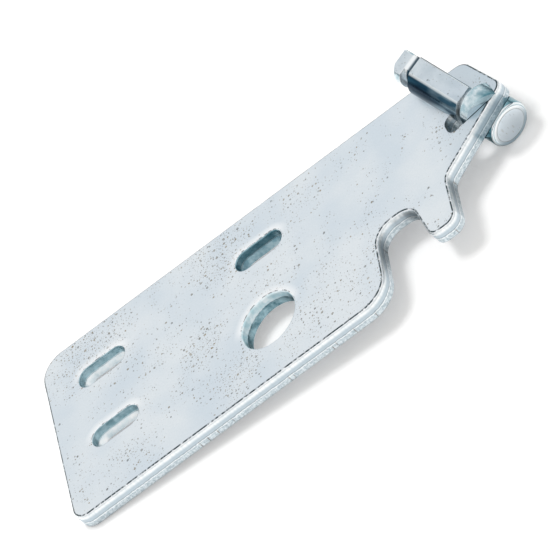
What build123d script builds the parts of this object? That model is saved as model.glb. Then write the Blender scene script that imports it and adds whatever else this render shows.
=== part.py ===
from build123d import *
from math import cos, radians, sin, tan
import os

# Flat hinge plate blanked from thick steel sheet, with a stepped hinge pin set through its window.
# The frame: origin at the centre of the large hole on the underside, +X along the plate towards
# the pin, +Y across the plate towards its long straight edge, +Z up through the sheet. Millimetres.

# Plate: overall sizes, measured from the large hole
plate_thickness = 4.0
rear_reach = 57.6
straight_edge_y = 35.1
long_edge_y = -17.3
rear_straight_radius = 6.0
rear_long_radius = 4.0

# Plate: round notch and the tooth beside it
notch_left_x = 29.6
notch_side_lean = 0.6
notch_width = 10.6
notch_floor_y = 2.8
notch_radius = 4.7
notch_lip_radius = 7.0
tooth_foot_x = 43.2
tooth_foot_y = -10.4
tooth_radius = 2.9
tooth_right_x = 50.2

# Plate: arm that narrows to the ear
arm_root_y = 3.7
arm_root_radius = 4.0
arm_angle = 39.0
arm_length = 24.0
ear_corner_radius = 2.6
ear_end_angle = -61.0
ear_outer_radius = 4.2
ear_inset = 2.2
ear_step_from_tip = 14.85
ear_step_run = 5.0
ear_step_radius = 2.0

# Plate: edges left by the blanking tool
outer_roll_radius = 0.7
hole_roll_radius = 0.4
burr_chamfer = 0.15

# Openings in the plate
large_hole_radius = 7.2
slot_width = 5.5
slot_length = 12.6
slot_row_y = 21.9
rear_slots_x = -42.5
front_slot_x = 1.6
lower_slot_y = 2.1
window_back_from_tip = 9.25
window_below_tip = 0.9
window_length = 13.2
window_width = 5.8
window_corner_radius = 2.2
window_angle = 10.0

# Pin: a round bar that dips through the window, square to the arm
pin_radius = 5.25
pin_plan_angle = -60.4
pin_dip = 17.2
pin_end_beyond_window = 6.1
pin_end_below_window = 6.7
pin_end_depth = 1.2
pin_end_rounding = 0.9
collar_end = 10.9
collar_rounding = 0.9
undercut_width = 0.6
undercut_depth = 1.4
body_length = 15.3
body_top_flat = 4.7
body_side_flat = 1.9
neck_length = 3.0
neck_radius = 3.6
tip_length = 2.8
tip_radius = 4.75
tip_top_flat = 3.1
tip_rounding = 1.0
flat_corner_radius = 0.5
relief_angle = 37.5

# Fits
seat_gap = 0.05
window_gap = 0.15

arm_root = (tooth_right_x, arm_root_y)
arm_tip = (
    tooth_right_x + arm_length * cos(radians(arm_angle)),
    arm_root_y + arm_length * sin(radians(arm_angle)),
)
ear_outer_y = straight_edge_y - ear_inset
ear_outer = (
    arm_tip[0] + (ear_outer_y - arm_tip[1]) / tan(radians(ear_end_angle)),
    ear_outer_y,
)
ear_step_x = arm_tip[0] - ear_step_from_tip
window_x = arm_tip[0] - window_back_from_tip
window_y = arm_tip[1] - window_below_tip

# Corners of the outline in order, each with the radius of its rounding
corners = [
    ((-rear_reach, long_edge_y), rear_long_radius),
    ((notch_left_x, long_edge_y), notch_lip_radius),
    ((notch_left_x + notch_side_lean, notch_floor_y), notch_radius),
    ((notch_left_x + notch_width, notch_floor_y), notch_radius),
    ((tooth_foot_x, tooth_foot_y), tooth_radius),
    ((tooth_right_x, tooth_foot_y), tooth_radius),
    (arm_root, arm_root_radius),
    (arm_tip, ear_corner_radius),
    (ear_outer, ear_outer_radius),
    ((ear_step_x, ear_outer_y), ear_step_radius),
    ((ear_step_x - ear_step_run, straight_edge_y), ear_step_radius),
    ((-rear_reach, straight_edge_y), rear_straight_radius),
]


def plate_outline():
    """The outline as one closed wire with each corner rounded by its own radius."""
    points = [point for point, _ in corners]
    radii = [radius for _, radius in corners]
    with BuildLine() as outline:
        FilletPolyline(*points, radius=radii, close=True)
    return outline.line


def window_sketch(growth, height):
    """The window's outline on the plane at the given height, grown by the given amount."""
    with BuildSketch(Plane.XY.offset(height)) as window:
        with Locations((window_x, window_y)):
            RectangleRounded(
                window_length + 2 * growth,
                window_width + 2 * growth,
                window_corner_radius + growth,
                rotation=window_angle,
            )
    return window.sketch


# Hinge plate
with BuildPart() as hinge_plate:
    with BuildSketch():
        add(plate_outline())
        make_face()
    extrude(amount=plate_thickness)
    outer_rim = faces().sort_by(Axis.Z)[-1].outer_wire().edges()
    fillet(outer_rim, outer_roll_radius)
    chamfer(faces().sort_by(Axis.Z)[0].outer_wire().edges(), burr_chamfer)
    with BuildSketch(Plane.XY.offset(plate_thickness)):
        Circle(large_hole_radius)
        with Locations(
            (rear_slots_x, slot_row_y),
            (front_slot_x, slot_row_y),
            (rear_slots_x, lower_slot_y),
        ):
            SlotOverall(slot_length, slot_width)
    extrude(amount=-plate_thickness, mode=Mode.SUBTRACT)
    add(window_sketch(0, 0))
    extrude(amount=plate_thickness, mode=Mode.SUBTRACT)
    rims = faces().sort_by(Axis.Z)[-1].inner_wires().edges()
    fillet(rims, hole_roll_radius)
hinge_plate.part.label = "hinge_plate"

# Axis frame of the pin: towards_tip runs back from the round end, pin_up is the side of the bar
# that faces up from the plate
plan = radians(pin_plan_angle)
dip = radians(pin_dip)
towards_tip = Vector(-cos(plan) * cos(dip), -sin(plan) * cos(dip), sin(dip))
pin_up = Vector(cos(plan) * sin(dip), sin(plan) * sin(dip), cos(dip))
pin_end = Vector(
    window_x + pin_end_beyond_window,
    window_y - pin_end_below_window,
    -pin_end_depth,
)
pin_profile = Plane(origin=pin_end, x_dir=towards_tip, z_dir=towards_tip.cross(pin_up))
pin_section = Plane(origin=pin_end, x_dir=pin_up, z_dir=towards_tip)

# Stations along the pin, from its round end, and a length that reaches past all of it
body_start = collar_end + undercut_width
body_end = body_start + body_length
neck_end = body_end + neck_length
pin_length = neck_end + tip_length
reach = 2 * pin_length


def flats_cutter(start, length, top_flat):
    """What the two flats take off a stretch of the bar, with a soft corner between them."""
    with BuildPart() as cutter:
        with BuildSketch(pin_section.offset(start)):
            Rectangle(reach, reach)
            with Locations((top_flat, body_side_flat)):
                RectangleRounded(
                    reach,
                    reach,
                    flat_corner_radius,
                    align=(Align.MAX, Align.MAX),
                    mode=Mode.SUBTRACT,
                )
        extrude(amount=length)
    return cutter.part


body_cutter = flats_cutter(body_start, body_length, body_top_flat)
tip_cutter = flats_cutter(body_end, reach, tip_top_flat)

# Plane of the window, with its X along the window and its Y across it
window_centre = Plane(
    origin=(window_x, window_y, 0),
    x_dir=(cos(radians(window_angle)), sin(radians(window_angle)), 0),
    z_dir=(0, 0, 1),
)
step_half = window_width / 2 - window_gap

# The bed takes away what would lie under the plate beyond the window's far wall
with BuildPart() as bed:
    with BuildSketch(window_centre.offset(plate_thickness + seat_gap)):
        with Locations((0, step_half)):
            Rectangle(reach, reach, align=(Align.CENTER, Align.MIN))
    extrude(amount=-reach)

# The recess takes away what would lie over the strip between the window and the arm's edge, and
# rises outside the edge as a slanted relief
arm_across = Plane(
    origin=(arm_tip[0], arm_tip[1], 0),
    x_dir=(sin(radians(arm_angle)), -cos(radians(arm_angle)), 0),
    z_dir=(-cos(radians(arm_angle)), -sin(radians(arm_angle)), 0),
)
with BuildPart() as recess:
    with BuildSketch(arm_across):
        with BuildLine():
            Polyline(
                (-reach, -seat_gap),
                (window_gap, -seat_gap),
                (window_gap + reach, reach * tan(radians(relief_angle)) - seat_gap),
                (-reach, reach * tan(radians(relief_angle)) - seat_gap),
                close=True,
            )
        make_face()
    extrude(amount=reach, both=True)
    near_wall = Plane(
        origin=window_centre.from_local_coords((0, -step_half, 0)),
        x_dir=window_centre.x_dir,
        z_dir=window_centre.y_dir,
    )
    split(bisect_by=near_wall, keep=Keep.BOTTOM)

# The sheet itself, grown by the fit, with the window's free space left out. The square at the
# window's end keeps the bar from closing round the end of the ear.
ear_side = window_centre.from_local_coords(
    (window_length / 2 - window_corner_radius, -step_half, 0)
)
with BuildPart() as sheet_space:
    with BuildSketch(Plane.XY.offset(-seat_gap)):
        add(plate_outline())
        make_face()
        offset(amount=window_gap)
        with Locations(Location((ear_side.X, ear_side.Y), window_angle)):
            Rectangle(reach, reach, align=(Align.MIN, Align.MIN))
        add(window_sketch(-window_gap, 0), mode=Mode.SUBTRACT)
    extrude(amount=plate_thickness + 2 * seat_gap)

# Hinge pin: the bar is turned, its flats are cut, and the two steps hook it through the window
with BuildPart() as hinge_pin:
    with BuildSketch(pin_profile):
        with BuildLine():
            end_round = CenterArc(
                (pin_end_rounding, pin_radius - pin_end_rounding), pin_end_rounding, 90, 90
            )
            collar_round = CenterArc(
                (collar_end - collar_rounding, pin_radius - collar_rounding),
                collar_rounding, 0, 90,
            )
            Line(end_round @ 0, collar_round @ 1)
            Polyline(
                collar_round @ 0,
                (collar_end, pin_radius - undercut_depth),
                (body_start, pin_radius - undercut_depth),
                (body_start, pin_radius),
                (body_end, pin_radius),
                (body_end, neck_radius),
                (neck_end, neck_radius),
                (neck_end, tip_radius),
                (pin_length - tip_rounding, tip_radius),
                (pin_length, tip_radius - tip_rounding),
                (pin_length, 0),
                (0, 0),
                end_round @ 1,
            )
        make_face()
    revolve(axis=Axis(pin_end, towards_tip))
    add(body_cutter, mode=Mode.SUBTRACT)
    add(tip_cutter, mode=Mode.SUBTRACT)
    add(bed.part, mode=Mode.SUBTRACT)
    add(recess.part, mode=Mode.SUBTRACT)
    add(sheet_space.part, mode=Mode.SUBTRACT)
hinge_pin.part.label = "hinge_pin"

os.makedirs("parts", exist_ok=True)
export_step(hinge_plate.part, "parts/hinge_plate.step")
export_step(hinge_pin.part, "parts/hinge_pin.step")
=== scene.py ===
# %% [markdown]
# A hinge plate is blanked from 4 mm sheet steel and a stepped pin is set through its window. Both
# are bright zinc plated. The exact solids come from the CAD model, so this lesson is about what the
# eye adds to them: the finish, the marks that the blanking tool left, the light and the camera.
# The model is loaded as a fixed frame. Its shapes are never moved or changed here.

# %% Load the frame
import math
import bpy
import numpy as np
from mathutils import Matrix, Vector


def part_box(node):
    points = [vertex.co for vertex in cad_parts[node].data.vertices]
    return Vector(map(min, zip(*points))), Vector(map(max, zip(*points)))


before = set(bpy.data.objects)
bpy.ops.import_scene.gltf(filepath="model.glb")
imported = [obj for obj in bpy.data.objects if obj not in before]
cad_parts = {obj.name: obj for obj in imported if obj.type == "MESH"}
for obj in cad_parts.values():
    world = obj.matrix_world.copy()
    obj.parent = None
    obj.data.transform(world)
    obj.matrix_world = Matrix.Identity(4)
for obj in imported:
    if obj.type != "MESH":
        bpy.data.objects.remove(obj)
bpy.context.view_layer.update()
MM = 0.001
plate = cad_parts["hinge_plate"]
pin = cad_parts["hinge_pin"]


# %% [markdown]
# The camera comes first, because every later look is judged through it. A product shot from far
# off is nearly parallel, so the camera stands 5 m away and its lens is as long as that needs. Its
# three axes were solved by least squares from points of the plate's outline, and its scale from the
# same fit. A camera could also be aimed by eye, but a few degrees of error would turn every edge
# away from the picture.

# %% Camera
CAMERA_RIGHT = Vector((0.76136, -0.15225, -0.63020))
CAMERA_UP = Vector((0.56383, 0.63533, 0.52768))
CAMERA_BACK = Vector((0.32006, -0.75708, 0.56955))
CAMERA_DISTANCE = 5.0
IMAGE_SIDE = 550
PIXELS_PER_MM = 4.6904
# Where the frame's origin lies in the picture, in pixels from its top left corner
ORIGIN_PIXEL = (280.07, 329.58)

right_of_origin = (IMAGE_SIDE / 2 - ORIGIN_PIXEL[0]) / PIXELS_PER_MM * MM
above_origin = (ORIGIN_PIXEL[1] - IMAGE_SIDE / 2) / PIXELS_PER_MM * MM
camera_place = CAMERA_RIGHT * right_of_origin + CAMERA_UP * above_origin
camera_place += CAMERA_BACK * CAMERA_DISTANCE
frame_width = IMAGE_SIDE / PIXELS_PER_MM * MM
camera_data = bpy.data.cameras.new("long_lens")
camera_data.lens = camera_data.sensor_width * CAMERA_DISTANCE / frame_width
camera_data.clip_end = 2 * CAMERA_DISTANCE
camera = bpy.data.objects.new("long_lens", camera_data)
bpy.context.collection.objects.link(camera)
turn = Matrix((CAMERA_RIGHT, CAMERA_UP, CAMERA_BACK)).transposed().to_4x4()
camera.matrix_world = Matrix.Translation(camera_place) @ turn
bpy.context.scene.camera = camera
print("frame width in mm:", round(frame_width / MM, 1), "lens in mm:", round(camera_data.lens))

# %% [markdown]
# Colours are written as the sRGB hex values that a paint chart or a picture editor shows. Blender
# computes in linear light, so one function turns them. A second one adds a node, sets its values
# and links its inputs. Nodes could be written out one line for each socket, but a recipe of a
# hundred nodes is easier to follow when each takes one line.

# %% Colours and nodes
def linear(hex_colour):
    """sRGB to linear: a channel under 0.04045 is divided by 12.92, the others follow a 2.4 power."""
    channels = np.array([int(hex_colour[i:i + 2], 16) for i in (1, 3, 5)]) / 255
    low = channels / 12.92
    high = ((channels + 0.055) / 1.055) ** 2.4
    return (*np.where(channels <= 0.04045, low, high).tolist(), 1.0)


def add_node(tree, kind, inputs=(), output=0, **settings):
    """Adds a node and returns one of its outputs, or the node itself when output is None.

    Settings are its properties. Inputs are given in order, or by name or number in a dict, and
    each is a socket to link, a hex colour or a plain value.
    """
    node = tree.nodes.new("ShaderNode" + kind)
    for name, value in settings.items():
        setattr(node, name, value)
    if not isinstance(inputs, dict):
        inputs = dict(enumerate(inputs))
    for key, value in inputs.items():
        if isinstance(value, bpy.types.NodeSocket):
            tree.links.new(value, node.inputs[key])
        else:
            node.inputs[key].default_value = linear(value) if isinstance(value, str) else value
    return node if output is None else node.outputs[output]


print("#808080 in linear light:", round(linear("#808080")[0], 3))

# %% [markdown]
# A finish is built up as it is on the bench: one coat over another, each where a mask lets it
# through. The masks come from three things: a value that passes between two limits, patches of
# noise of a given width, and the distance from a point. Painted image masks would do it too, but
# these are sharp at any size and need no picture files.

# %% Coats and masks
def laid_over(tree, base, colour, mask, share=1.0):
    """The colour laid over the base where the mask is 1, hiding up to the given share of it."""
    if share != 1.0:
        mask = add_node(tree, "Math", (mask, share), operation="MULTIPLY")
    return add_node(tree, "Mix", {0: mask, 6: base, 7: colour}, output=2, data_type="RGBA")


def band_of(tree, value, low, high, soft):
    """1 where the value lies between low and high, fading to 0 over soft on each side."""
    rise = add_node(tree, "MapRange", (value, low - soft, low + soft))
    fall = add_node(tree, "MapRange", (value, high - soft, high + soft))
    return add_node(tree, "Math", (rise, fall), operation="SUBTRACT")


def patches_of(tree, place, size_mm, detail, rough, low=0.0, high=1.0):
    """Patches of noise about size_mm across: 0 where the noise is below low, 1 above high."""
    inputs = {"Vector": place, "Scale": 1 / (size_mm * MM), "Detail": detail, "Roughness": rough}
    return add_node(tree, "MapRange", (add_node(tree, "TexNoise", inputs), low, high))


def reach_of(tree, first, second):
    """Length of a line from its two parts at right angles: the root of the sum of their squares."""
    square = add_node(tree, "Math", (second, second), operation="MULTIPLY")
    squares = add_node(tree, "Math", (first, first, square), operation="MULTIPLY_ADD")
    return add_node(tree, "Math", (squares,), operation="SQRT")


def new_metal(name):
    """An empty metal material with its shader, and the object coordinates and normal to build on."""
    material = bpy.data.materials.new(name)
    material.use_nodes = True
    tree = material.node_tree
    shader = tree.nodes["Principled BSDF"]
    shader.inputs["Metallic"].default_value = 1.0
    coordinates = add_node(tree, "TexCoord", output=None).outputs
    return material, tree, shader, coordinates["Object"], coordinates["Normal"]

# %% [markdown]
# Zinc plating is cloudy: patches about a centimetre wide are a little bluer or whiter. Its own
# grain is much finer than a pixel, so it is drawn 0.45 mm wide to show at all. Over it lie small
# brown and grey specks, where the coat is thin or was handled. They come one to a cell of a Voronoi
# pattern, and most cells stay empty. Real specks are 0.1 to 0.4 mm wide. Here they are 0.1 to
# 0.7 mm, and mostly small, because a pixel is 0.2 mm and a finer one would be lost. The same recipe
# serves the plate and the pin.

# %% The plated face
CLOUDS = dict(size_mm=14.0, detail=2.0, rough=0.5, low=0.34, high=0.66)
GRAIN = dict(size_mm=0.45, detail=2.0, rough=0.6, low=0.3, high=0.72)
# Each size of speck: its cell in millimetres, how common it is, and how much of the face it hides
SPECK_SIZES = ((1.3, 0.8, 0.95), (0.9, 1.2, 0.85), (0.6, 1.3, 0.6))
# A speck's radius as a share of its cell, and the power that keeps most of them near the smallest
SMALLEST_SPECK = 0.07
SPECK_SPREAD = 0.2
MOSTLY_SMALL = 2.5
SPECK_EDGE = (-0.03, 0.05)
RAGGED_EDGE = dict(size_mm=0.22, detail=2.0, rough=0.7, low=0.36, high=0.52)


def specks_of(tree, place, cell_mm, chance):
    """Mask of ragged specks, one to a cell at most, and a random value for each to tint it by."""
    inputs = {"Vector": place, "Scale": 1 / (cell_mm * MM)}
    cells = add_node(tree, "TexVoronoi", inputs, output=None, voronoi_dimensions="2D").outputs
    roll = add_node(tree, "SeparateColor", (cells["Color"],), output=None).outputs
    kept = add_node(tree, "Math", (roll[0], chance), operation="LESS_THAN")
    uneven = add_node(tree, "Math", (roll[1], MOSTLY_SMALL), operation="POWER")
    inputs = (uneven, SPECK_SPREAD, SMALLEST_SPECK)
    radius = add_node(tree, "Math", inputs, operation="MULTIPLY_ADD")
    inside = add_node(tree, "Math", (radius, cells["Distance"]), operation="SUBTRACT")
    spot = add_node(tree, "MapRange", (inside, *SPECK_EDGE))
    spot = add_node(tree, "Math", (spot, kept), operation="MULTIPLY")
    ragged = patches_of(tree, place, **RAGGED_EDGE)
    return add_node(tree, "Math", (spot, ragged), operation="MULTIPLY"), roll[2]


def plated_face(tree, place, chance):
    """Colour of a plated face, clouds, grain and specks of three sizes, and the grain by itself."""
    grain = patches_of(tree, place, **GRAIN)
    face = laid_over(tree, "#D6E0E8", "#E4EAEE", patches_of(tree, place, **CLOUDS))
    face = laid_over(tree, face, "#B4C4CD", grain, share=0.16)
    for cell_mm, common, hidden in SPECK_SIZES:
        likely = add_node(tree, "Math", (chance, common), operation="MULTIPLY")
        mask, roll = specks_of(tree, place, cell_mm, likely)
        tint = laid_over(tree, "#5A5F61", "#8D7B55", roll)
        face = laid_over(tree, face, tint, mask, share=hidden)
    return face, grain


widest_speck = 2 * SPECK_SIZES[0][0] * (SMALLEST_SPECK + SPECK_SPREAD)
print("widest speck in mm:", round(widest_speck, 2))

# %% [markdown]
# The specks of the real plate crowd in a few places and are rare elsewhere. A slow noise decides
# most of that, and a short list of places raises it where they crowd on the real one. Single
# specks could be placed one by one, but their kind and crowding is what the eye takes in.

# %% Where the specks crowd
CROWDING = dict(size_mm=9.0, detail=4.0, rough=0.65)
CROWDING_GAIN = 2.4
CROWDING_START = -1.04
# Each place: its centre x and y and how far it reaches, in millimetres
SPECKED_PLACES = ((-16.7, 6.3, 8.0), (-7.0, 29.5, 11.0), (-46.0, 28.0, 13.0), (-10.0, -9.0, 9.0))
PLACE_GAIN = 1.1


def speck_chance(tree, x, y, place):
    """Share of cells that hold a speck: a slow noise, raised near the places where they crowd."""
    inputs = (patches_of(tree, place, **CROWDING), CROWDING_GAIN, CROWDING_START)
    chance = add_node(tree, "Math", inputs, operation="MULTIPLY_ADD")
    for centre_x, centre_y, reach in SPECKED_PLACES:
        across = add_node(tree, "Math", (x, centre_x), operation="SUBTRACT")
        along = add_node(tree, "Math", (y, centre_y), operation="SUBTRACT")
        near = add_node(tree, "MapRange", (reach_of(tree, across, along), reach, 0.0))
        chance = add_node(tree, "Math", (near, PLACE_GAIN, chance), operation="MULTIPLY_ADD")
    return chance


print("specks crowd in", len(SPECKED_PLACES), "places")

# %% [markdown]
# A blanked edge tells how it was made. The punch first drags the face down into a roll, then
# shears a smooth burnished band, and the last two fifths break off as a rougher fracture. The roll
# gets a painted highlight, brighter towards its top. These bands lie at fixed heights in the sheet,
# so the height alone can place them, made a little wavy by noise. Its marks are drawn out along the
# height, the way the punch went.

# %% Blanked edge
# Heights above the sheet's underside in millimetres. A third number is how softly a line fades.
ROLL_PAINTED_HIGHLIGHT = (2.5, 3.1)
FRACTURE_TOP = 1.7
FRACTURE_SOFT = 0.05
# A line of painted shade above the step to the fracture, and one of painted highlight below it
PAINTED_SHADE_LINE = (FRACTURE_TOP, FRACTURE_TOP + 0.12, 0.05)
PAINTED_HIGHLIGHT_LINE = (FRACTURE_TOP - 0.3, FRACTURE_TOP - 0.12, 0.06)
FOOT = (0.3, 0.05)
WAVE = 0.5
# Heights are squeezed to a quarter, which makes a mark four times as tall as it is wide
DRAWN_OUT = (1, 1, 0.25)
STREAKS = dict(size_mm=0.7, detail=3.0, rough=0.65, low=0.38, high=0.62)
WAVES = dict(size_mm=1.1, detail=3.0, rough=0.65)
TEARS = dict(size_mm=0.6, detail=3.0, rough=0.65, low=0.35, high=0.65)
BROWN_CELL_MM = 1.2
BROWN_CHANCE = 0.45


def outer_wall(tree, place, height):
    """Colour of the blanked outer edge, from the roll at the top to the fracture at the bottom."""
    drawn = add_node(tree, "Mapping", {0: place, 3: DRAWN_OUT})
    streaks = patches_of(tree, drawn, **STREAKS)
    ragged = patches_of(tree, place, **WAVES)
    level = add_node(tree, "Math", (height, WAVE / 2), operation="SUBTRACT")
    wavy = add_node(tree, "Math", (ragged, WAVE, level), operation="MULTIPLY_ADD")

    # Painted highlight on the roll, lighter towards the top of the wall
    roll_highlight = add_node(tree, "MapRange", (height, *ROLL_PAINTED_HIGHLIGHT))
    burnish = laid_over(tree, "#BFCBD3", "#FBFDFE", roll_highlight)
    burnish = laid_over(tree, burnish, "#AFC1CB", streaks, share=0.3)
    fracture = laid_over(tree, "#A9B8C0", "#DEE6EA", patches_of(tree, place, **TEARS))
    brown, _ = specks_of(tree, drawn, BROWN_CELL_MM, BROWN_CHANCE)
    fracture = laid_over(tree, fracture, "#7A6F66", brown, share=0.75)

    inputs = (wavy, FRACTURE_TOP - FRACTURE_SOFT, FRACTURE_TOP + FRACTURE_SOFT)
    wall = laid_over(tree, fracture, burnish, add_node(tree, "MapRange", inputs))
    # Painted shade and painted highlight along the step to the fracture
    wall = laid_over(tree, wall, "#6F808A", band_of(tree, wavy, *PAINTED_SHADE_LINE), share=0.75)
    wall = laid_over(tree, wall, "#FFFFFF", band_of(tree, wavy, *PAINTED_HIGHLIGHT_LINE), share=0.7)
    foot = add_node(tree, "MapRange", (height, *FOOT))
    return laid_over(tree, wall, "#66767E", foot, share=0.6), streaks, ragged


print("marks of the punch are", STREAKS["size_mm"] / DRAWN_OUT[2], "mm tall")

# %% [markdown]
# The plate's openings are all a straight line swept by a circle: a slot has a straight run, and the
# large hole has none. So one formula gives how far a point is from an opening's wall: the distance
# to its straight run, less its radius. Inside them the coat has pooled and is bluer, and each wall
# has its own colours, with painted light and shade: one part lighter and one darker as that wall is
# lit, and a pale painted highlight along their border. An upright wall in a narrow opening would
# reflect only the dark opposite it, so its normals lean upwards, by as much as each wall needs to
# catch the light from above.

# %% Openings
# Each opening: centre x and y, half of its straight run, and its radius, in millimetres
OPENINGS = {
    "large_hole": (0.0, 0.0, 0.0, 7.2),
    "rear_slot": (-42.5, 21.9, 3.55, 2.75),
    "front_slot": (1.6, 21.9, 3.55, 2.75),
    "lower_slot": (-42.5, 2.1, 3.55, 2.75),
}
# Each wall, with painted light and shade: dark and light of its upper part, then of its lower part
WALL_LIGHT_AND_SHADE_COLOURS = {
    "large_hole": ("#BDD9E0", "#EAF4F7", "#4F7783", "#A5C3CC"),
    "rear_slot": ("#7C9CA6", "#A9C4CD", "#E6F0F4", "#FFFFFF"),
    "front_slot": ("#5F8894", "#93B4BE", "#ABC9D2", "#E3EFF3"),
    "lower_slot": ("#7C9CA6", "#A9C4CD", "#E6F0F4", "#FFFFFF"),
}
# Each wall: how far its normals lean upwards, in its upper and its lower part
WALL_LEANS = {
    "large_hole": (0.5, 0.1),
    "rear_slot": (0.0, 0.7),
    "front_slot": (0.1, 0.35),
    "lower_slot": (0.0, 0.7),
}
# Heights of the two parts' border and of the painted highlight line that follows it, and how wavy
# both are
PARTS_MEET = (2.1, 2.35)
PALE_HIGHLIGHT_LINE = (2.3, 2.45, 0.06)
WALL_WAVE = 0.6
BLOTCHES = dict(size_mm=2.2, detail=3.0, rough=0.6, low=0.38, high=0.62)


def distance_from_wall(tree, x, y, opening):
    """Millimetres from the opening's wall, negative inside it, and from its centre line in y."""
    centre_x, centre_y, half_run, radius = opening
    along = add_node(tree, "Math", (x, centre_x), operation="SUBTRACT")
    along = add_node(tree, "Math", (along,), operation="ABSOLUTE")
    past = add_node(tree, "Math", (along, half_run), operation="SUBTRACT")
    past = add_node(tree, "Math", (past, 0.0), operation="MAXIMUM")
    across = add_node(tree, "Math", (y, centre_y), operation="SUBTRACT")
    reach = reach_of(tree, across, past)
    return add_node(tree, "Math", (reach, radius), operation="SUBTRACT"), across


def opening_wall(tree, place, height, ragged, name):
    """Colour of an opening's wall, with painted light and shade, and how far its normals lean
    upwards.
    """
    top_dark, top_light, low_dark, low_light = WALL_LIGHT_AND_SHADE_COLOURS[name]
    top_lean, low_lean = WALL_LEANS[name]
    blotches = patches_of(tree, place, **BLOTCHES)
    top = laid_over(tree, top_dark, top_light, blotches)
    low = laid_over(tree, low_dark, low_light, blotches)
    wavy = add_node(tree, "Math", (ragged, WALL_WAVE, height), operation="MULTIPLY_ADD")
    upper = add_node(tree, "MapRange", (wavy, *PARTS_MEET))
    # Painted light and shade: one part of the wall lighter, one darker, with a pale painted
    # highlight between
    wall = laid_over(tree, low, top, upper)
    wall = laid_over(tree, wall, "#E9F1F4", band_of(tree, wavy, *PALE_HIGHLIGHT_LINE), share=0.6)
    inputs = (upper, top_lean - low_lean, low_lean)
    return wall, add_node(tree, "Math", inputs, operation="MULTIPLY_ADD")


print("openings:", ", ".join(OPENINGS))

# %% [markdown]
# Around each opening the face dips into the hole, and on the far side this dip gets a painted
# highlight and broken marks of painted shade. Both follow the distance from the wall. The outer rim
# has such a line of painted shade too, but it is found by the surface's direction, because its roll
# is neither flat nor upright. The material then takes the face where the surface looks up or down,
# and the walls elsewhere.

# %% Zinc-plated sheet
# Distances in millimetres from an opening's wall, or in y from its centre line
FAR_SIDE = (-0.5, 2.5)
RIM_HIGHLIGHT = (2.3, 0.3)
SHADE_MARKS = (0.2, 0.45, 0.08)
RIM_MARKS = dict(size_mm=1.6, detail=4.0, rough=0.75, low=0.48, high=0.56)
ON_WALL = 0.5
OFF_RIM = 0.8
# The ear, in x, gets painted shade, a little darker than the rest of the plate
SHADED_EAR = (50.0, 60.0)
# How much a surface faces up or down: the flat faces, and the roll between them and the walls,
# which gets a broken line of painted shade
FLAT_FACE = (0.83, 0.88)
OUTER_ROLL_SHADE = (0.76, 0.975, 0.015)
BREAKS = dict(size_mm=1.2, detail=4.0, rough=0.75, low=0.38, high=0.5)
BUMP_DEPTH = 0.1 * MM


def rim_of(tree, face, distance, across, rim_marks):
    """The face beside an opening, with a painted highlight and marks of painted shade on the far
    side of its rim.
    """
    far_side = add_node(tree, "MapRange", (across, *FAR_SIDE))
    # Painted highlight on the far side of the rim
    highlight = add_node(tree, "MapRange", (distance, *RIM_HIGHLIGHT))
    highlight = add_node(tree, "Math", (highlight, far_side), operation="MULTIPLY")
    face = laid_over(tree, face, "#FCFEFF", highlight, share=0.85)
    # Marks of painted shade where the face turns into the dip
    shade_marks = band_of(tree, distance, *SHADE_MARKS)
    shade_marks = add_node(tree, "Math", (shade_marks, rim_marks), operation="MULTIPLY")
    shade_marks = add_node(tree, "Math", (shade_marks, far_side), operation="MULTIPLY")
    return laid_over(tree, face, "#3F5059", shade_marks, share=0.85)


def zinc_plated_sheet():
    """Bright zinc on blanked sheet: faces where it looks up or down, walls elsewhere."""
    material, tree, shader, place, normal = new_metal("zinc_plated_sheet")
    parts = add_node(tree, "SeparateXYZ", (place,), output=None).outputs
    x, y, height = (add_node(tree, "Math", (part, MM), operation="DIVIDE") for part in parts)
    facing = add_node(tree, "SeparateXYZ", (normal,), output="Z")
    up = add_node(tree, "Math", (facing,), operation="ABSOLUTE")
    face, grain = plated_face(tree, place, speck_chance(tree, x, y, place))
    # Painted shade on the ear
    face = laid_over(tree, face, "#A5B7C2", add_node(tree, "MapRange", (x, *SHADED_EAR)), share=0.35)
    wall, streaks, ragged = outer_wall(tree, place, height)
    rim_marks = patches_of(tree, place, **RIM_MARKS)
    outside = 1.0
    lean = 0.0

    for name, opening in OPENINGS.items():
        distance, across = distance_from_wall(tree, x, y, opening)
        inner, wall_lean = opening_wall(tree, place, height, ragged, name)
        on_wall = add_node(tree, "Math", (distance, ON_WALL), operation="LESS_THAN")
        off_rim = add_node(tree, "Math", (distance, OFF_RIM), operation="GREATER_THAN")
        wall = laid_over(tree, wall, inner, on_wall)
        lean = add_node(tree, "Math", (on_wall, wall_lean, lean), operation="MULTIPLY_ADD")
        outside = add_node(tree, "Math", (off_rim, outside), operation="MULTIPLY")
        face = rim_of(tree, face, distance, across, rim_marks)

    flat = add_node(tree, "MapRange", (up, *FLAT_FACE))
    roll = add_node(tree, "Math", (band_of(tree, up, *OUTER_ROLL_SHADE), outside), operation="MULTIPLY")
    colour = laid_over(tree, wall, face, flat)
    # A broken dark line of painted shade on the outer roll
    colour = laid_over(tree, colour, "#34434A", roll, share=patches_of(tree, place, **BREAKS))
    relief = laid_over(tree, streaks, grain, flat)
    surface_normal = add_node(tree, "NewGeometry", output="Normal")
    upwards = add_node(tree, "CombineXYZ", {"Z": lean})
    leaning = add_node(tree, "VectorMath", (surface_normal, upwards), operation="ADD")
    leaning = add_node(tree, "VectorMath", (leaning,), operation="NORMALIZE")
    inputs = {"Strength": 0.05, "Distance": BUMP_DEPTH, "Height": relief, "Normal": leaning}
    shader.inputs["Roughness"].default_value = 0.34
    tree.links.new(colour, shader.inputs["Base Color"])
    tree.links.new(add_node(tree, "Bump", inputs), shader.inputs["Normal"])
    return material


sheet_finish = zinc_plated_sheet()
plate.data.materials.clear()
plate.data.materials.append(sheet_finish)
print("zinc_plated_sheet has", len(sheet_finish.node_tree.nodes), "nodes")

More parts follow.
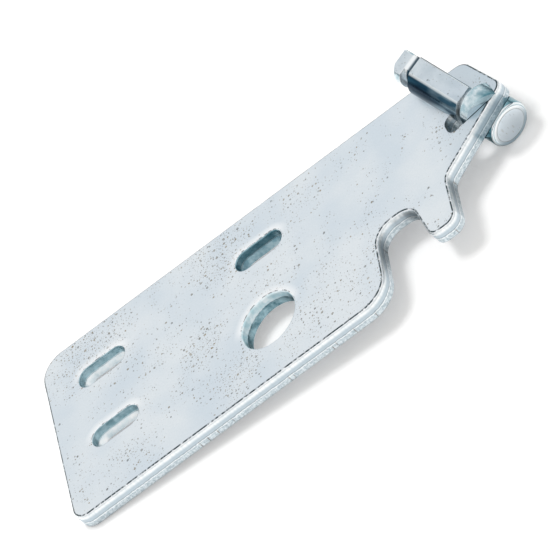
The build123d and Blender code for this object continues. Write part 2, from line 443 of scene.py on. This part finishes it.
# %% [markdown]
# The pin is turned from bar, and its material has to know where on the bar it is. The bar dips
# through the plate at an angle, so the plate's x, y and z say little. Three directions of its own
# serve better: along it from the round end, up from its axis, and across it. The pin could have
# been unwrapped instead, but measuring along its own directions needs no seams.

# %% Directions of the bar
PLAN = math.radians(-60.4)
DIP = math.radians(17.2)
TOWARDS_TIP = (-math.cos(PLAN) * math.cos(DIP), -math.sin(PLAN) * math.cos(DIP), math.sin(DIP))
PIN_UP = (math.cos(PLAN) * math.sin(DIP), math.sin(PLAN) * math.sin(DIP), math.cos(DIP))
PIN_SIDE = np.cross(TOWARDS_TIP, PIN_UP).tolist()
PIN_END = (65.7 * MM, 11.2 * MM, -1.2 * MM)
# Millimetres along the bar from its round end
COLLAR_END = 10.9
NECK_START = 26.8
NECK_END = 29.8


def places_on_bar(tree, place):
    """Millimetres from the centre of the round end: along the bar, up from its axis and across."""
    from_end = add_node(tree, "VectorMath", (place, PIN_END), operation="SUBTRACT")
    places = []
    for axis in (TOWARDS_TIP, PIN_UP, PIN_SIDE):
        part = add_node(tree, "VectorMath", (from_end, axis), "Value", operation="DOT_PRODUCT")
        places.append(add_node(tree, "Math", (part, MM), operation="DIVIDE"))
    return places


print("the bar points to", [round(part, 3) for part in TOWARDS_TIP])

# %% [markdown]
# The turned and milled sides are polished, blue and streaked along the bar, so their noise is
# squeezed in that direction, which draws its patches out. Their sides carry painted light and shade:
# the side of the body is near black towards the neck, lighter towards the collar and paler where it
# faces down. The collar is smudged, with painted light towards the body and painted shade towards
# the round end, and a painted highlight runs where the body's round side meets its top.

# %% Sides of the bar
STREAK_SQUEEZE = 0.22
BAR_STREAKS = dict(size_mm=1.6, detail=2.0, rough=0.5, low=0.36, high=0.64)
# Stations along the bar in millimetres
SIDE_PAINTED_LIGHT = (21.0, 15.0)
COLLAR_PAINTED_LIGHT = (COLLAR_END - 4.5, COLLAR_END - 1.5)
BODY = (COLLAR_END + 0.6, NECK_END, 0.2)
# How much a surface faces the bar's upward side
SIDE_PAINTED_SHADE_TURNS = (-0.1, 0.15)
PAINTED_HIGHLIGHT_RUN = (0.86, 0.96, 0.03)


def bar_sides(tree, places, rise, smudges):
    """Colour of the collar, and of the body's sides with their streaks, with painted light and
    shade.
    """
    station, height, across = places
    squeezed = add_node(tree, "Math", (station, STREAK_SQUEEZE), operation="MULTIPLY")
    lengthwise = add_node(tree, "CombineXYZ", (squeezed, height, across))
    lengthwise = add_node(tree, "VectorMath", {0: lengthwise, "Scale": MM}, operation="SCALE")
    streaks = patches_of(tree, lengthwise, **BAR_STREAKS)

    # Painted shade and light on the body's side: near black towards the neck, lighter towards the
    # collar, paler facing down
    painted_dark_side = laid_over(tree, "#0A283B", "#24495C", streaks)
    painted_lit_side = laid_over(tree, "#2C4D5F", "#A5BBC5", streaks)
    painted_dark_side = laid_over(tree, painted_dark_side, painted_lit_side, add_node(tree, "MapRange", (station, *SIDE_PAINTED_LIGHT)))
    painted_pale_side = laid_over(tree, "#3E6173", "#9DB5C0", streaks)
    side = laid_over(tree, painted_pale_side, painted_dark_side, add_node(tree, "MapRange", (rise, *SIDE_PAINTED_SHADE_TURNS)))
    # Painted light and shade along the collar
    shaded = laid_over(tree, "#4C7C89", "#93B6C0", smudges)
    bright = laid_over(tree, "#A9C3CC", "#F4F9FB", smudges)
    painted_light = add_node(tree, "MapRange", (station, *COLLAR_PAINTED_LIGHT))
    collar = laid_over(tree, shaded, bright, painted_light)
    on_body = band_of(tree, station, *BODY)
    turned = laid_over(tree, collar, side, on_body)
    # Painted highlight where the round side meets the top
    return laid_over(tree, turned, "#F4F9FB", band_of(tree, rise, *PAINTED_HIGHLIGHT_RUN), share=on_body)


print("streaks of the bar are", round(BAR_STREAKS["size_mm"] / STREAK_SQUEEZE, 1), "mm long")

# %% [markdown]
# The milled flat on top and the round end's face are cloudy and specked like the sheet, and the end
# face gets painted light. The end face is a little smaller than the bar, because its edge is
# rounded off. That edge gets painted light, lighter on top, and a thin worn ring marks where the
# flat face stops.

# %% Flats of the bar
BAR_SPECKS = 0.16
END_FACE_RADIUS = 3.9
ROUNDED_OFF = (END_FACE_RADIUS, END_FACE_RADIUS + 0.2)
RING = (END_FACE_RADIUS - 0.1, END_FACE_RADIUS + 0.1, 0.06)
RING_WEAR = 0.4
RING_LEAST = 0.35
EDGE_PAINTED_LIGHT = (-2.5, 2.5)


def bar_flats(tree, place, places, end, flat, smudges):
    """Colour of the milled flat and the end face, with painted light on the end face and its edge,
    and their grain.
    """
    _, height, across = places
    off_axis = reach_of(tree, height, across)
    face, grain = plated_face(tree, place, BAR_SPECKS)
    face = laid_over(tree, face, "#97A8B3", smudges, share=0.3)
    face = laid_over(tree, face, "#A7B6C0", flat, share=0.3)
    # Painted light: the end face is lightened
    face = laid_over(tree, face, "#EFF8FF", end, share=0.6)
    # Painted light on the rounded edge, lighter on top
    painted_light = add_node(tree, "MapRange", (height, *EDGE_PAINTED_LIGHT))
    painted_edge_light = laid_over(tree, "#A9BFCB", "#FFFFFF", painted_light)
    beyond = add_node(tree, "MapRange", (off_axis, *ROUNDED_OFF))
    beyond = add_node(tree, "Math", (beyond, end), operation="MULTIPLY")
    face = laid_over(tree, face, painted_edge_light, beyond, share=0.8)
    ring = add_node(tree, "Math", (band_of(tree, off_axis, *RING), end), operation="MULTIPLY")
    worn = add_node(tree, "Math", (smudges, RING_WEAR, RING_LEAST), operation="MULTIPLY_ADD")
    return laid_over(tree, face, "#6F7471", ring, share=worn), grain


print("the end face is", 2 * END_FACE_RADIUS, "mm across")

# %% [markdown]
# What is flat or round is told by the surface's direction against the bar's own. The painted shade
# in the groove behind the collar and on the neck, and the painted highlight on the crescent of the
# tip, are bands across the bar, so a short table of stations places them. The turned sides are
# glossier than the flats.

# %% Zinc-plated turned bar
SMUDGES = dict(size_mm=3.2, detail=3.0, rough=0.55, low=0.4, high=0.64)
# How much a surface faces along the bar, for its end, and up from it, for its flats
END_FACING = (0.9, 0.97)
FLAT_RISE = (0.975, 0.99)
MILLED_FROM = COLLAR_END + 0.3
# The painted highlight on the rounded rim of the end face: the facings it lies between, and how
# softly it fades
END_RIM_HIGHLIGHT = (0.45, 0.88, 0.08)
# Each band: first and last station, how softly it fades, the share it hides, and its colour of
# painted shade or highlight
SHADE_AND_HIGHLIGHT_BANDS = {
    "groove": (COLLAR_END + 0.15, COLLAR_END + 0.35, 0.05, 0.9, "#2C4A57"),
    "neck": (NECK_START + 0.1, NECK_END - 1.1, 0.25, 0.9, "#1C3948"),
    "crescent": (NECK_END - 0.9, NECK_END + 0.1, 0.2, 0.8, "#FAFDFE"),
}
TURNED_ROUGHNESS = 0.16
FLAT_ROUGHNESS = 0.32


def zinc_plated_bar():
    """Bright zinc on turned bar: cloudy where it is flat, polished and blue where it is round."""
    material, tree, shader, place, normal = new_metal("zinc_plated_bar")
    along = add_node(tree, "VectorMath", (normal, TOWARDS_TIP), "Value", operation="DOT_PRODUCT")
    facing_end = add_node(tree, "Math", (along,), operation="ABSOLUTE")
    rise = add_node(tree, "VectorMath", (normal, PIN_UP), "Value", operation="DOT_PRODUCT")
    places = places_on_bar(tree, place)
    station = places[0]
    smudges = patches_of(tree, place, **SMUDGES)
    end = add_node(tree, "MapRange", (facing_end, *END_FACING))
    milled = add_node(tree, "Math", (station, MILLED_FROM), operation="GREATER_THAN")
    flat = add_node(tree, "MapRange", (rise, *FLAT_RISE))
    flat = add_node(tree, "Math", (flat, milled), operation="MULTIPLY")
    plain = add_node(tree, "Math", (end, flat), operation="MAXIMUM")

    face, grain = bar_flats(tree, place, places, end, flat, smudges)
    colour = laid_over(tree, bar_sides(tree, places, rise, smudges), face, plain)
    # Painted highlight on the rounded rim of the end face
    colour = laid_over(tree, colour, "#F6FAFC", band_of(tree, facing_end, *END_RIM_HIGHLIGHT), share=0.8)
    # Painted shade in the groove and on the neck, and a painted highlight on the tip's crescent
    for first, last, soft, hidden, tint in SHADE_AND_HIGHLIGHT_BANDS.values():
        band = band_of(tree, station, first, last, soft)
        colour = laid_over(tree, colour, tint, band, share=hidden)
    inputs = {"Value": plain, "To Min": TURNED_ROUGHNESS, "To Max": FLAT_ROUGHNESS}
    roughness = add_node(tree, "MapRange", inputs)
    bump = add_node(tree, "Bump", {"Strength": 0.08, "Distance": BUMP_DEPTH, "Height": grain})
    tree.links.new(colour, shader.inputs["Base Color"])
    tree.links.new(roughness, shader.inputs["Roughness"])
    tree.links.new(bump, shader.inputs["Normal"])
    return material


bar_finish = zinc_plated_bar()
pin.data.materials.clear()
pin.data.materials.append(bar_finish)
print("zinc_plated_bar has", len(bar_finish.node_tree.nodes), "nodes")

# %% [markdown]
# The pin's round end reaches below the sheet, so on a table the plate leans on its rear edge and on
# that end. The floor is therefore the plane through the rear edge that just touches the pin. It is
# a grid worked out with numpy: each point's height is the slope times its distance from the edge.

# %% Floor
FLOOR_REACH = 1.2
FLOOR_POINTS = 25
FLOOR_GAP = 0.02 * MM


def vertices_of(node):
    """The node's vertices as an array with one row for each."""
    flat = np.empty(len(node.data.vertices) * 3)
    node.data.vertices.foreach_get("co", flat)
    return flat.reshape(-1, 3)


rear_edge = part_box("hinge_plate")[0].x
pin_points = vertices_of(pin)
slope = float(np.max(-pin_points[:, 2] / (pin_points[:, 0] - rear_edge)))
steps = np.linspace(-FLOOR_REACH, FLOOR_REACH, FLOOR_POINTS)
grid_x, grid_y = np.meshgrid(steps, steps, indexing="ij")
grid_z = -slope * (grid_x - rear_edge) - FLOOR_GAP
floor_points = np.stack([grid_x, grid_y, grid_z], axis=-1).reshape(-1, 3)
numbers = np.arange(FLOOR_POINTS ** 2).reshape(FLOOR_POINTS, FLOOR_POINTS)
corners = (numbers[:-1, :-1], numbers[1:, :-1], numbers[1:, 1:], numbers[:-1, 1:])
quads = np.stack(corners, axis=-1).reshape(-1, 4)
floor_mesh = bpy.data.meshes.new("floor")
floor_mesh.from_pydata(floor_points.tolist(), [], quads.tolist())
floor = bpy.data.objects.new("floor", floor_mesh)
bpy.context.collection.objects.link(floor)
print("the floor leans by", round(math.degrees(math.atan(slope)), 1), "degrees")

# %% [markdown]
# The floor is white card. The camera sees a part of it as plain paper that needs no light, so the
# picture's ground is white and the shadow stays light. From below the floor is clear, so the
# plate's underside can be looked at. The light on the object is the same with or without either.

# %% White card
PAPER_SHARE = 0.35

white = bpy.data.materials.new("white_card")
white.use_nodes = True
card_tree = white.node_tree
card = card_tree.nodes["Principled BSDF"]
card.inputs["Base Color"].default_value = linear("#FFFFFF")
card.inputs["Roughness"].default_value = 0.9
card.inputs["Specular IOR Level"].default_value = 0.0
seen = add_node(card_tree, "LightPath", output="Is Camera Ray")
share = add_node(card_tree, "Math", (seen, PAPER_SHARE), operation="MULTIPLY")
paper = add_node(card_tree, "Emission", {"Color": "#FFFFFF"})
both = add_node(card_tree, "MixShader", (share, card.outputs[0], paper))
from_below = add_node(card_tree, "NewGeometry", output="Backfacing")
clear = add_node(card_tree, "BsdfTransparent")
one_way = add_node(card_tree, "MixShader", (from_below, both, clear))
card_tree.links.new(one_way, card_tree.nodes["Material Output"].inputs["Surface"])
floor_mesh.materials.append(white)
print("white_card has", len(card_tree.nodes), "nodes")

# %% [markdown]
# Plain studio light: a pale surround and one soft lamp, nearly overhead and a little behind, so
# that the shadow falls short and towards the lower right. The lamp is hidden from reflections,
# where its disc would show as a hard spot. Metal shows what it reflects, and a white tent alone
# would make the round bar flat, so in reflections the surround darkens near the horizon.

# %% Light
AMBIENT = "#D2D1CF"
# The tent seen in reflections: how far up each colour lies, as the height of a unit direction
TENT = ((0.0, "#51646E"), (0.32, "#FFFFFF"))
LAMP_SIZE = 0.35
LAMP_WATTS = 4.5
LAMP_PLACE = (-0.1, 0.22, 0.85)

world = bpy.data.worlds.new("studio")
bpy.context.scene.world = world
world.use_nodes = True
sky = world.node_tree
background = sky.nodes["Background"]
direction = add_node(sky, "TexCoord", output="Generated")
upwards = add_node(sky, "SeparateXYZ", (direction,), output="Z")
tent = add_node(sky, "ValToRGB", (upwards,), output=None)
for element, (position, colour) in zip(tent.color_ramp.elements, TENT):
    element.position = position
    element.color = linear(colour)
rays = add_node(sky, "LightPath", output=None).outputs
surround = laid_over(sky, AMBIENT, tent.outputs[0], rays["Is Glossy Ray"])
surround = laid_over(sky, surround, "#FFFFFF", rays["Is Camera Ray"])
sky.links.new(surround, background.inputs["Color"])
background.inputs["Strength"].default_value = 1.0

lamp_data = bpy.data.lights.new("soft_box", "AREA")
lamp_data.shape = "DISK"
lamp_data.size = LAMP_SIZE
lamp_data.energy = LAMP_WATTS
lamp = bpy.data.objects.new("soft_box", lamp_data)
bpy.context.collection.objects.link(lamp)
lamp.location = LAMP_PLACE
lamp.visible_glossy = False
lamp.rotation_euler = Vector(LAMP_PLACE).to_track_quat("Z", "Y").to_euler()
print("the lamp stands", round(Vector(LAMP_PLACE).length, 2), "m from the origin")

# %% [markdown]
# Last, the picture is shown with the Standard view, which leaves colours as written.

# %% Finish
bpy.context.scene.view_settings.view_transform = "Standard"
